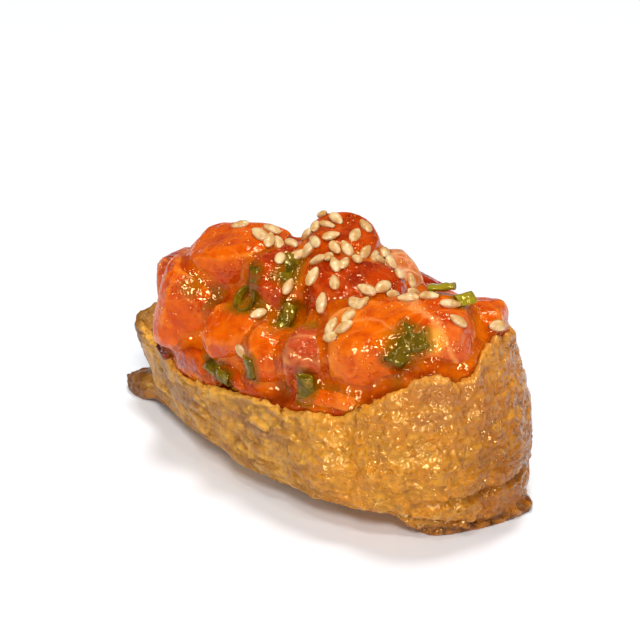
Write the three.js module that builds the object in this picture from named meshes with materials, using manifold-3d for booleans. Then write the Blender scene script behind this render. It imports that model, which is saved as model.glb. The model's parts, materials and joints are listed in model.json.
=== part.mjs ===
// Inari sushi: a pocket of fried tofu skin, filled with rice and heaped with diced raw salmon.
// Millimetres, +Z up. X runs along the pocket and Y across it; the origin is under the middle of
// the whole piece, in the plane that it rests on.
import * as THREE from "three";
import { mergeVertices } from "three/addons/utils/BufferGeometryUtils.js";
import Module from "manifold-3d";

const wasm = await Module();
wasm.setup();
const { Manifold } = wasm;

// ---- Driving dimensions -------------------------------------------------------------------
const SKIN = 2.4; // thickness of the tofu skin in the wall
const FLOOR = 2.6; // thickness of the skin under the rice
const SLIVER = 0.1; // details of a cut face smaller than this are drawn together
const GAP = 0.3; // free space between neighbouring pieces
const RIM_ROUND = 0.35; // how far the cut rim is rounded up
const LOWEST_INSIDE = 0.12; // share of the wall's height where the inner skin meets the floor
const RICE_TOP = 0.84; // share of the wall's height that the rice reaches
const RICE_PEAK = 22; // height of the rice in the middle of the heap
const HEEL_OUT = 0.62; // share of the way from foot to belly that the heel already stands out
const HEEL_UP = 0.2; // height of the heel above the foot, as a share of the belly's height
const MIDDLE_X = -4; // where the middle of the pocket is along its length
const ABOVE_RIM = 20; // how far the space over the rim is followed up
const HEAP_TOP = 50; // a height above everything
const TURNS = 84; // columns of facets around the outside of the pocket
const WALL_ROWS = 7; // rows of facets up the outside
const INNER_TURNS = 42; // columns of facets around the inside
const INNER_ROWS = 4; // rows of facets up the inside, and up the rice
const RICE_TURNS = 24; // columns of facets around the rice

// The pocket's wall at stations around it, counter-clockwise from the right-hand end. Each one
// gives where the wall leaves the base, where it bellies out, and where its cut rim is.
const STATIONS = [
  { foot: [31.4, 0.5, 0], belly: [33.2, 0.5, 16], rim: [29.2, -0.5, 30.2] },
  { foot: [28.8, 8, 0], belly: [30.4, 8.6, 15], rim: [27, 7.4, 28.6] },
  { foot: [20.5, 12.8, 0], belly: [22.8, 15.8, 13], rim: [20.5, 14.8, 26] },
  { foot: [9, 14.8, 0], belly: [10.5, 19.4, 12], rim: [9.5, 18.6, 23] },
  { foot: [-3, 14.6, 0], belly: [-3, 20, 10.5], rim: [-3.5, 20, 20.6] },
  { foot: [-14, 12, 0.3], belly: [-15.5, 17.8, 9.5], rim: [-17, 18.6, 18.8] },
  { foot: [-25, 8, 1], belly: [-28, 12.6, 9], rim: [-30, 14.4, 17.8] },
  { foot: [-33.5, 4, 1.8], belly: [-37.5, 6.6, 9], rim: [-40.5, 8.2, 17.6] },
  { foot: [-37, 0.4, 2.2], belly: [-42, -0.2, 9], rim: [-45, -0.2, 15] },
  { foot: [-32.8, -4.2, 1.8], belly: [-36, -5.8, 8.5], rim: [-37, -6, 14.6] },
  { foot: [-26, -7.2, 1], belly: [-28.4, -10.4, 8.5], rim: [-28.2, -11, 14.4] },
  { foot: [-17, -10.2, 0.3], belly: [-18.6, -14.6, 8.5], rim: [-19.4, -15.2, 15] },
  { foot: [-8, -12.8, 0], belly: [-8.8, -18.2, 9], rim: [-10, -18.2, 17] },
  { foot: [0, -13.8, 0], belly: [0, -20.2, 9.5], rim: [-1, -19.8, 18.2] },
  { foot: [7.5, -13.8, 0], belly: [8, -21.2, 10], rim: [7.2, -20.6, 19] },
  { foot: [14, -12.4, 0], belly: [15.6, -21, 11], rim: [14.4, -20, 20.6] },
  { foot: [19.5, -10.2, 0], belly: [21.6, -19.6, 12], rim: [19.8, -19, 24.6] },
  { foot: [24.6, -8, 0], belly: [27, -16.6, 13], rim: [24.8, -16.8, 28.2] },
  { foot: [27.6, -6.6, 0], belly: [30.3, -12.6, 13.5], rim: [27.9, -13.8, 28.4] },
  { foot: [29.2, -5, 0], belly: [31.6, -9.6, 14], rim: [29.4, -11.2, 26.6] },
  { foot: [30.6, -2.8, 0], belly: [32.6, -5.6, 15], rim: [29.8, -7.4, 28.6] },
];

// Pleats: upright grooves where the skin is gathered. station counts the stations above, width
// is in stations, and the groove deepens from a share of the wall's height up to the rim.
const PLEATS = [
  { station: 14.95, width: 0.3, depth: 1.4, from: 0.45 },
  { station: 19.1, width: 0.3, depth: 1.1, from: 0.5 },
  { station: 9.6, width: 0.3, depth: 0.7, from: 0.2 },
  { station: 5.6, width: 0.35, depth: 1.0, from: 0.4 },
  { station: 1.6, width: 0.3, depth: 0.9, from: 0.5 },
];

// The bottom corners of the pocket stand out at its two ends as flat ears.
// thick is the ear's height at its tip, and rise how much higher it is where it joins the body.
const EARS = [
  {
    outline: [[-33, 7], [-42, 6.8], [-47.4, 4.6], [-48.9, 1.8], [-46.4, -0.8], [-41, -2.2], [-33, -3]],
    thick: 3,
    rise: 1.2,
  },
  {
    outline: [[20, -9], [21.2, -12], [24.6, -12.4], [28.8, -8], [33, 0.8], [33.2, 5], [26, 8]],
    thick: 2.4,
    rise: 0.2,
  },
];
const EAR_EDGE = 0.9; // how far an ear's upper edge is rounded off
const EAR_LENGTH = 12; // over which the rise happens

// Diced salmon: middle, half sizes along its own axes, and turns about Z, Y and X in degrees.
// A piece is cut by every piece listed before it.
const SALMON = {
  slab_right: { at: [16, -8.5, 28.5], half: [11.6, 7.4, 6.8], turn: [25, -14, 18] },
  shoulder_left: { at: [-18.2, -3, 32.4], half: [8.8, 7, 6], turn: [12, -12, 14] },
  peak_back: { at: [-3.2, 3, 35.4], half: [6.2, 6.2, 5.8], turn: [30, 4, 6] },
  block_left: { at: [-25.5, -8, 25], half: [6.2, 5.6, 8.2], turn: [30, 12, 12] },
  right_small: { at: [23.4, 2.8, 29.4], half: [4.4, 5, 4.8], turn: [20, 10, 0] },
  mid_plate: { at: [-12, -12, 24.8], half: [5.6, 4.6, 4.8], turn: [8, -8, 30] },
  mid_square: { at: [-3.8, -13.6, 23], half: [4.8, 4.6, 5.2], turn: [24, 6, 24] },
  centre_high: { at: [4.5, -3.5, 31.8], half: [8, 6.2, 6], turn: [34, 6, 20] },
  peak_right: { at: [3.8, 5.5, 31], half: [5, 5.5, 5], turn: [0, 38, 0] },
  valley: { at: [-9, -5.5, 31.2], half: [4.6, 6, 6.4], turn: [10, 0, 10] },
  mid_pink: { at: [3.4, -13.6, 24.8], half: [4.6, 4.6, 5.6], turn: [16, 8, 22] },
  right_low: { at: [25.6, -4.6, 25], half: [4.2, 5.4, 4.6], turn: [0, 8, 0] },
  front_low: { at: [9, -15.4, 19.2], half: [6.4, 3.8, 4.4], turn: [6, -6, 12] },
  left_low: { at: [-20.6, -10.6, 16.4], half: [5.8, 3.6, 4.2], turn: [-20, 0, 12] },
  front_left_low: { at: [-10.5, -13.4, 17.6], half: [6, 3.4, 3.8], turn: [-14, 4, 16] },
  back_left: { at: [-34.4, 2.2, 23.4], half: [5, 6, 5.2], turn: [10, -8, 0] },
  back_low_left: { at: [-24, 8, 23.4], half: [7, 6, 6.4], turn: [-14, 8, -14] },
  back_mid_left: { at: [-12, 9, 26.4], half: [6.4, 6.4, 6.8], turn: [12, 0, -18] },
  back_mid: { at: [2, 13.4, 24.6], half: [7.4, 4.6, 6], turn: [4, 6, -20] },
  back_right: { at: [14, 7.4, 25.4], half: [7.2, 6.2, 5.6], turn: [-12, 4, -12] },
};
const SQUARENESS = 3.4; // superellipsoid power: 2 is a ball, higher is boxier
const WOBBLE = 0.05; // share by which a cut face waves
const CHUNK_TURNS = 12; // facets around a piece of salmon
const CHUNK_ROWS = 8; // facets from pole to pole

// ---- Solids -------------------------------------------------------------------------------
function solidOf(geometry) {
  const bare = new THREE.BufferGeometry();
  bare.setAttribute("position", geometry.getAttribute("position"));
  bare.setIndex(geometry.index);
  const merged = mergeVertices(bare, 1e-4);
  return new Manifold(
    new wasm.Mesh({
      numProp: 3,
      vertProperties: new Float32Array(merged.getAttribute("position").array),
      triVerts: new Uint32Array(merged.index.array),
    }),
  );
}

function geometryOf(solid) {
  const mesh = solid.getMesh();
  const geometry = new THREE.BufferGeometry();
  geometry.setAttribute("position", new THREE.BufferAttribute(mesh.vertProperties, 3));
  geometry.setIndex(new THREE.BufferAttribute(mesh.triVerts, 1));
  geometry.computeVertexNormals();
  return geometry;
}

// The largest body of a solid that a cut may have left in several.
function largest(solid) {
  const bodies = solid.decompose();
  return bodies.reduce((best, body) => (body.volume() > best.volume() ? body : best));
}

// A solid from rings of points, each ring with the same count, closed by a middle point below
// the first ring and one above the last.
function ringsSolid(rings, low, high) {
  const count = rings[0].length;
  const points = [...rings.flat(), low, high];
  const lowIndex = points.length - 2;
  const highIndex = points.length - 1;
  const faces = [];
  for (let j = 0; j < count; j++) {
    const next = (j + 1) % count;
    faces.push(lowIndex, next, j);
    const last = (rings.length - 1) * count;
    faces.push(highIndex, last + j, last + next);
    for (let r = 0; r + 1 < rings.length; r++) {
      const a = r * count + j;
      const b = r * count + next;
      faces.push(a, b, b + count, a, b + count, a + count);
    }
  }
  const geometry = new THREE.BufferGeometry();
  const flat = new Float32Array(points.flatMap((p) => [p.x, p.y, p.z]));
  geometry.setAttribute("position", new THREE.BufferAttribute(flat, 3));
  geometry.setIndex(faces);
  return solidOf(geometry);
}

// ---- Pocket -------------------------------------------------------------------------------
const closedLine = (points) => new THREE.CatmullRomCurve3(points, true, "centripetal");
const footLine = closedLine(STATIONS.map((s) => new THREE.Vector3(...s.foot)));
const bellyLine = closedLine(STATIONS.map((s) => new THREE.Vector3(...s.belly)));
const rimLine = closedLine(STATIONS.map((s) => new THREE.Vector3(...s.rim)));

// Low lumps in the skin, which has puffed up in the fryer.
function puff(share, height) {
  const turn = share * 2 * Math.PI;
  return (
    0.3 * Math.sin(7 * turn + 5 * height) +
    0.22 * Math.sin(13 * turn - 8 * height + 1.7) +
    0.16 * Math.sin(23 * turn + 3 * height + 0.6)
  );
}

function pleatDepth(share, height) {
  let depth = 0;
  for (const pleat of PLEATS) {
    const away = share * STATIONS.length - pleat.station;
    const reach = THREE.MathUtils.smoothstep(height, pleat.from, 1);
    depth += pleat.depth * reach * Math.exp(-((away / pleat.width) ** 2));
  }
  return depth;
}

// The level direction that leaves the pocket at a place around it.
function outward(share) {
  const along = bellyLine.getTangent(share);
  return new THREE.Vector3(along.y, -along.x, 0).normalize();
}

// A point of the outer skin at a place around it and a share of the way from foot to rim.
function outerPoint(share, height) {
  const foot = footLine.getPoint(share);
  const belly = bellyLine.getPoint(share);
  const rim = rimLine.getPoint(share);
  const heel = foot.clone().lerp(belly, HEEL_OUT).setZ(foot.z + belly.z * HEEL_UP);
  const profile = new THREE.CatmullRomCurve3([foot, heel, belly, rim], false, "centripetal");
  const point = profile.getPoint(height);
  const swell = THREE.MathUtils.smoothstep(height, 0, 0.3) * puff(share, height);
  return point.addScaledVector(outward(share), swell - pleatDepth(share, height));
}

// The inner skin lies an inset in from the outer one, and does not go below the floor.
function innerPoint(share, height, inset, floor) {
  const point = outerPoint(share, height).addScaledVector(outward(share), -inset);
  return point.setZ(Math.max(point.z, floor));
}

function ring(pointAt, turns) {
  return Array.from({ length: turns }, (_, i) => pointAt(i / turns));
}

const heightsFrom = (low, high, rows) =>
  Array.from({ length: rows + 1 }, (_, r) => low + ((high - low) * r) / rows);

// A ring at the rim, drawn in by an inset and lifted.
const rimRing = (inset, lift, turns) =>
  ring((share) => innerPoint(share, 1, inset, 0).add(new THREE.Vector3(0, 0, lift)), turns);

// The pocket as if it were solid. grow thickens it all over.
function pocketOutside(grow) {
  const wall = heightsFrom(0, 1, WALL_ROWS).map((h) =>
    ring((share) => innerPoint(share, h, -grow, 0), TURNS),
  );
  const crest = rimRing(SKIN * 0.25, RIM_ROUND + grow, TURNS);
  const middle = new THREE.Vector3(MIDDLE_X, 0, 0);
  return ringsSolid([...wall, crest], middle, middle.clone().setZ(RICE_PEAK));
}

// The space inside the pocket, going on up above the rim. shrink draws it in all over.
function pocketInside(shrink) {
  const floor = FLOOR + shrink;
  const wall = heightsFrom(LOWEST_INSIDE, 0.96, INNER_ROWS).map((h) =>
    ring((share) => innerPoint(share, h, SKIN + shrink, floor), INNER_TURNS),
  );
  const crest = rimRing(SKIN * 0.55 + shrink, RIM_ROUND + shrink, INNER_TURNS);
  const above = rimRing(SKIN * 0.55 + shrink, ABOVE_RIM, INNER_TURNS);
  const middle = new THREE.Vector3(MIDDLE_X, 0, floor);
  return ringsSolid([...wall, crest, above], middle, middle.clone().setZ(HEAP_TOP));
}

// An ear is a smooth outline, raised to its height and drawn in a little at its upper edge.
function ear({ outline, thick, rise }) {
  const corners = outline.map(([x, y]) => new THREE.Vector3(x, y, 0));
  const line = new THREE.CatmullRomCurve3(corners, true, "centripetal");
  const points = line.getSpacedPoints(outline.length * 6).slice(0, -1);
  const middle = points.reduce((sum, p) => sum.add(p), new THREE.Vector3());
  middle.divideScalar(points.length);
  const farthest = Math.max(...points.map((p) => Math.abs(p.x)));
  const lifted = (p, z) => {
    const towardsBody = Math.min(1, (farthest - Math.abs(p.x)) / EAR_LENGTH);
    return p.clone().setZ(z * (1 + rise * towardsBody));
  };
  const level = (z, inset) =>
    points.map((p) => {
      const inwards = middle.clone().sub(p).normalize().multiplyScalar(inset);
      return lifted(p.clone().add(inwards), z);
    });
  const rings = [
    level(0, EAR_EDGE * 0.3),
    level(thick * 0.3, 0),
    level(thick * 0.7, EAR_EDGE * 0.3),
    level(thick, EAR_EDGE * 1.6),
  ];
  return ringsSolid(rings, middle, lifted(middle, thick));
}

// The rice fills the pocket one gap clear of it, and is heaped up a little in the middle.
function riceBody() {
  const floor = FLOOR + GAP;
  const rings = heightsFrom(LOWEST_INSIDE, RICE_TOP, INNER_ROWS).map((h) =>
    ring((share) => innerPoint(share, h, SKIN + GAP * 2, floor), RICE_TURNS),
  );
  const bottom = new THREE.Vector3(MIDDLE_X, 0, floor);
  return ringsSolid(rings, bottom, bottom.clone().setZ(RICE_PEAK));
}

// ---- Salmon -------------------------------------------------------------------------------
// A diced piece is a superellipsoid: a block with well rounded edges, and faces that wave.
// grow thickens it all over, and phase gives each piece waves of its own.
function chunk({ at, half, turn }, grow, phase) {
  const squared = (v) => Math.sign(v) * Math.abs(v) ** (2 / SQUARENESS);
  const pointAt = (row, column) => {
    const up = -Math.PI / 2 + (Math.PI * row) / CHUNK_ROWS;
    const around = (2 * Math.PI * column) / CHUNK_TURNS;
    const wave =
      1 +
      WOBBLE * Math.sin(2.3 * around + 1.9 * up + phase) +
      WOBBLE * Math.cos(3 * up - around + 2.1 * phase);
    return new THREE.Vector3(
      (half[0] * wave + grow) * squared(Math.cos(up)) * squared(Math.cos(around)),
      (half[1] * wave + grow) * squared(Math.cos(up)) * squared(Math.sin(around)),
      (half[2] * wave + grow) * squared(Math.sin(up)),
    );
  };
  const rings = [];
  for (let row = 1; row < CHUNK_ROWS; row++) {
    rings.push(Array.from({ length: CHUNK_TURNS }, (_, column) => pointAt(row, column)));
  }
  const [aboutZ, aboutY, aboutX] = turn.map(THREE.MathUtils.degToRad);
  const placed = new THREE.Matrix4()
    .makeRotationFromEuler(new THREE.Euler(aboutX, aboutY, aboutZ, "ZYX"))
    .setPosition(...at);
  const moved = (p) => p.clone().applyMatrix4(placed);
  return ringsSolid(
    rings.map((r) => r.map(moved)),
    moved(pointAt(0, 0)),
    moved(pointAt(CHUNK_ROWS, 0)),
  );
}

// ---- The pieces ---------------------------------------------------------------------------
const skin = (colour, roughness) =>
  new THREE.MeshStandardMaterial({ color: colour, roughness, metalness: 0 });
const TOFU = skin(0xb9803a, 0.45);
const RICE = skin(0xe9dfc8, 0.6);
const FISH = skin(0xe8641f, 0.3);

const pieces = new THREE.Group();
function addPiece(name, solid, material) {
  const mesh = new THREE.Mesh(geometryOf(solid), material);
  mesh.name = name;
  pieces.add(mesh);
}

const withEars = EARS.map(ear).reduce((whole, part) => whole.add(part), pocketOutside(0));
addPiece("tofu_pocket", largest(withEars.subtract(pocketInside(0))), TOFU);

const keptFree = [pocketOutside(GAP).subtract(pocketInside(GAP))];
function cutFree(solid) {
  const left = keptFree.reduce((rest, other) => rest.subtract(other), solid);
  return largest(left.simplify(SLIVER));
}

Object.entries(SALMON).forEach(([name, facts], index) => {
  addPiece(`salmon_${name}`, cutFree(chunk(facts, 0, index)), FISH);
  keptFree.push(chunk(facts, GAP, index));
});
addPiece("rice_filling", cutFree(riceBody()), RICE);

// The origin is under the middle of the whole piece.
const bounds = new THREE.Box3().setFromObject(pieces);
const middle = bounds.getCenter(new THREE.Vector3());
pieces.position.set(-middle.x, -middle.y, -bounds.min.z);

const sushi = new THREE.Group();
sushi.add(pieces);
export default sushi;
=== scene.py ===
"""Inari sushi: an open pocket of simmered tofu skin, filled with rice and heaped with diced salmon.

Sizes are millimetres in the tables, constants and materials, and metres in the settings and meshes.
The floor's size and the lamps' distance are metres too.
"""

import json
import math

import bmesh
import bpy
import numpy as np
from mathutils import Matrix, Vector
from mathutils.bvhtree import BVHTree

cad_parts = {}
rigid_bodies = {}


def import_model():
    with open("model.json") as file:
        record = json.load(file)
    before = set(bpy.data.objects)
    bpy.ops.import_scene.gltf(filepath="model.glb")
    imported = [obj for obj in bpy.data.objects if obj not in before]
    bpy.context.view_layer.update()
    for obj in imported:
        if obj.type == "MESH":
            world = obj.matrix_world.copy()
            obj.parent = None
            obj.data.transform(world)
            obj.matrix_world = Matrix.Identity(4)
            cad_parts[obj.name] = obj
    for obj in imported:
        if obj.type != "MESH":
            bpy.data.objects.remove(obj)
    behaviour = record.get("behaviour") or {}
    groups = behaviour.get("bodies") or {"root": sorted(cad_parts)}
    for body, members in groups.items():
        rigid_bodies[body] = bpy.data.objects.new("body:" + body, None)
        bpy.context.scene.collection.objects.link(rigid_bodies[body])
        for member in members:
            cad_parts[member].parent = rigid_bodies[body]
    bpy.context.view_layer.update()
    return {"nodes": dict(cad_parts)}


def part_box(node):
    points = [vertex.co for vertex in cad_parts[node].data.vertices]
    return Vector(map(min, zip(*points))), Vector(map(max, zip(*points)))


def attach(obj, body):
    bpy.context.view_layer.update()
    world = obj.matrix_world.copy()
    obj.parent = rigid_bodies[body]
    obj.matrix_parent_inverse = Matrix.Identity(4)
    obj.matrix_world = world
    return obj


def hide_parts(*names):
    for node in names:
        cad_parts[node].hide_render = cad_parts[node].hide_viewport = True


bl_info = {
    "name": "Inari sushi with diced salmon",
    "version": (1, 0, 0),
    "blender": (4, 5, 0),
    "location": "View3D > Sidebar > Inari",
    "description": "Builds an inari sushi: tofu pocket, rice, salmon, sauce, chives and sesame",
    "category": "Add Mesh",
}

MM = 0.001
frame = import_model()
SALMON_NODES = sorted(name for name in frame["nodes"] if name.startswith("salmon_"))

# ---- Places and tints of the toppings ----

# The cuts of salmon: which kind of flesh shows, and the turn of its grain about Z and about X. The scarlet
# tone is the peak's own deep red, and on the two low cuts by the left rim it is painted shade.
FLESH = {
    "slab_right": ("slab", 25, 60),
    "shoulder_left": ("orange", 100, 20),
    "peak_back": ("scarlet", 40, 70),
    "block_left": ("orange", 70, 80),
    "right_small": ("orange", 120, 30),
    "mid_plate": ("orange", 15, 10),
    "mid_square": ("orange", 50, 75),
    "centre_high": ("red", 130, 40),
    "peak_right": ("pale", 60, 50),
    "valley": ("red", 20, 85),
    "mid_pink": ("pink", 110, 60),
    "right_low": ("pink", 35, 15),
    "front_low": ("orange", 80, 35),
    "left_low": ("scarlet", 140, 20),
    "front_left_low": ("scarlet", 10, 55),
    "back_left": ("pink", 90, 70),
    "back_low_left": ("orange", 30, 30),
    "back_mid_left": ("orange", 75, 65),
    "back_mid": ("red", 115, 45),
    "back_right": ("orange", 150, 60),
}

# Sesame seeds lying on the topping: x, y, z, and the turn of the long side about Z in degrees.
SEEDS = {
    "left shoulder": [
        (-12, -1.5, 38.5, 25), (-6.5, -3.5, 39, 165), (-6, -1, 39, 10), (-3.5, -2.5, 37.5, 150),
        (-1.5, -1.5, 37.5, 160), (-0.5, -6, 37, 120), (1, -3.5, 37, 70), (2, -3, 36, 150),
        (-4.5, -3.5, 38.5, 120),
    ],
    "peak": [
        (3.5, -2, 39.5, 150), (-0.5, 0.5, 39, 20), (3, 2, 41, 10), (3, 4.5, 41, 160), (0, 5, 41, 160),
        (7.5, 6, 40.5, 155), (8, 2.5, 40, 110), (5.5, -0.5, 40.5, 50), (7, -1.5, 39, 145),
        (8.5, -0.5, 39, 150), (7.5, -4, 38.5, 120), (6, -5, 38, 20), (9.5, -5, 38, 135),
        (10.5, -4, 38, 110), (11.5, -2, 38.5, 140), (11, 1, 38.5, 115), (11.5, 2.5, 37, 155),
        (11, 6, 36.5, 130), (2.5, -2.5, 38, 60), (1, 1.5, 40.5, 115), (12.5, 5.5, 35.5, 165),
        (12, 3.5, 36.5, 65),
    ],
    "below the peak": [
        (7.5, -8, 36.5, 85), (3, -8.5, 34, 135), (3, -5.5, 32, 170), (11.5, -8, 36.5, 130),
        (11, -10.5, 34, 100), (16.5, -6.5, 36, 0), (18, -4.5, 36, 85), (19.5, -4, 35, 55),
        (17.5, 1, 36.5, 140), (16, 6.5, 33, 150), (17, 5.5, 31.5, 30),
    ],
    "right slab": [
        (23.5, -5.5, 36, 30), (26.5, -4, 36.5, 15), (30.5, -4.5, 36.5, 40), (33, -6.5, 35, 20),
        (35, 1.5, 32, 30), (16, -9, 34.5, 145), (17.5, -9, 35, 80), (17, -12, 33.5, 90),
        (15, -13.5, 32, 70), (17.5, -14, 32.5, 45), (16, -15, 31, 5),
    ],
    "front": [(-1, -15, 24, 85), (-0.5, -12, 29.5, 65)],
    "back": [
        (2, 10, 33, 40), (-5, 9, 33, 110), (-14, 7, 30, 70), (13, 9, 31, 20), (6, 13, 30, 80),
        (-22, 5, 29, 130), (20, 5, 30.5, 60), (-9, 12, 31.5, 10),
    ],
}

# Pieces of chive: place, length, width, turn about Z, how far the end it points to tips up out of
# the sauce in degrees, and how far it is sunk, as a share of its width (raised where negative).
CHIVES = [
    (-2.9, -10.2, 35.2, 2.6, 2.2, 70, 0, 0.15),
    (-3.6, -11.0, 31.0, 1.2, 4.4, 20, 84, -0.05),
    (1.5, -6.4, 36.0, 5.2, 2.6, 115, 5, 0.1),
    (3.4, -10.0, 28.6, 5.0, 2.3, 113, 24, -0.3),
    (2.0, -17.5, 23.0, 3.8, 2.2, 75, 5, -0.02),
    (-7.5, -14.5, 19.5, 3.4, 2.6, 155, 8, -0.02),
    (-4.5, -16.0, 19.0, 3.0, 2.3, 130, 5, 0.0),
    (13.0, -16.5, 23.0, 4.4, 2.8, 105, 8, -0.55),
    (28.0, -13.2, 32.2, 6.4, 3.2, 100, 0, 0.1),
    (29.6, -12.6, 33.2, 3.0, 2.8, 60, 6, 0.08),
    (27.0, -1.6, 36.8, 4.2, 3.0, 25, 12, -0.3),
    (31.2, -1.7, 36.4, 3.0, 2.4, 60, 30, -0.25),
    (-10.0, 6.0, 33.5, 4.5, 2.6, 30, 5, 0.1),
    (8.0, 11.5, 30.5, 4.0, 2.6, 120, 0, 0.1),
    (-20.0, 9.0, 30.2, 4.5, 2.8, 70, 5, 0.1),
]

# Hollows between the dice where the sauce lies low, with painted shade darkening the sauce and salmon
# there: x, y, z, radius and depth.
HOLLOWS = [(-4.1, -16.1, 18.0, 2.4, 1.6), (-23.5, -6.4, 15.5, 2.6, 2.0)]

# Places where the sauce is thick and olive: x, y, z and radius.
POOLS = [
    (27.4, -13.0, 32.2, 3.8),
    (-5.5, -11.5, 31.0, 3.4),
    (-1.2, -11.0, 30.0, 2.6),
    (2.0, -7.6, 34.8, 2.4),
    (-14.5, -11.5, 30.5, 2.2),
    (3.0, -13.5, 27.0, 2.2),
    (10.0, -12.0, 29.5, 1.8),
]


# ---- Settings ----
def colour(code):
    """Linear colour from a hex code."""
    parts = [int(code[i : i + 2], 16) / 255 for i in (0, 2, 4)]
    return [p / 12.92 if p <= 0.04045 else ((p + 0.055) / 1.055) ** 2.4 for p in parts] + [1.0]


def length(name, description, millimetres):
    return bpy.props.FloatProperty(
        name=name, description=description, default=millimetres * MM, min=0.0, unit="LENGTH"
    )


def tint(name, description, code):
    return bpy.props.FloatVectorProperty(
        name=name, description=description, default=colour(code), size=4, min=0, max=1, subtype="COLOR"
    )


def number(name, description, value):
    return bpy.props.IntProperty(name=name, description=description, default=value, min=0)


class InariSettings(bpy.types.PropertyGroup):
    skin_grain: length("Skin mesh size", "Length of one face of the tofu skin", 0.4)
    skin_lumps: length("Skin lumps", "Height of the broad lumps in the tofu skin", 0.35)
    skin_wrinkles: length("Skin wrinkles", "Depth of the level wrinkles in the skin", 0.55)
    skin_blisters: length("Skin blisters", "Height of the small fried blisters", 0.5)
    flesh_grain: length("Salmon mesh size", "Length of one face of the salmon", 0.45)
    flesh_waves: length("Salmon waves", "Height of the waves in a cut face", 0.3)
    sauce_rise: length("Sauce rise", "How wide a hollow the sauce fills", 1.35)
    sauce_settling: number("Sauce settling", "Rounds of smoothing that the sauce gets", 5)
    rice_spacing: length("Rice spacing", "Least distance between two grains of rice", 1.9)
    seed_length: length("Seed length", "Length of a sesame seed", 3.3)
    bubble_count: number("Bubbles", "Bubbles per square centimetre of sauce", 26)

    skin_light: tint("Light skin", "Colour of the paler tofu skin", "E0A030")
    skin_dark: tint("Dark skin", "Colour of the browner tofu skin", "B0701E")
    skin_glaze: tint("Glaze", "Colour of the syrup on the high end of the pocket", "E28C0E")
    rim_colour: tint("Rim", "Colour of the cut rim of the pocket", "FFB84A")
    rice_colour: tint("Rice", "Colour of the rice", "E9DCC2")
    salmon_orange: tint("Orange salmon", "Bright flesh of most of the dice", "E66200")
    salmon_slab: tint("Salmon slab", "Bright flesh of the big slab", "EC6C00")
    # The scarlet flesh is the peak's own red, and painted shade on the low cuts.
    salmon_scarlet: tint("Scarlet salmon", "Bright flesh of the peak and the low cuts", "CC4600")
    salmon_red: tint("Red salmon", "Bright flesh of the deep red cuts", "C43E00")
    salmon_pale: tint("Pale salmon", "Bright flesh of the fatty cut", "F2A070")
    salmon_pink: tint("Pink salmon", "Bright flesh of the pink cuts", "CC5026")
    sauce_colour: tint("Sauce", "Colour of the sauce where it is thin", "DC6600")
    pool_colour: tint("Sauce pools", "Colour of the sauce where it is thick", "9A6008")
    chive_colour: tint("Chives", "Colour of the chives", "82680A")
    seed_colour: tint("Sesame", "Colour of the sesame seeds", "F0CE94")


def settings():
    return bpy.context.scene.inari_settings


# ---- Node trees ----
def fill(tree, node, inputs):
    """Sets each input of a node to a value, or links it to another node's output."""
    for key, value in inputs.items():
        if isinstance(value, bpy.types.NodeSocket):
            tree.links.new(value, node.inputs[key])
        else:
            node.inputs[key].default_value = value


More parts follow.
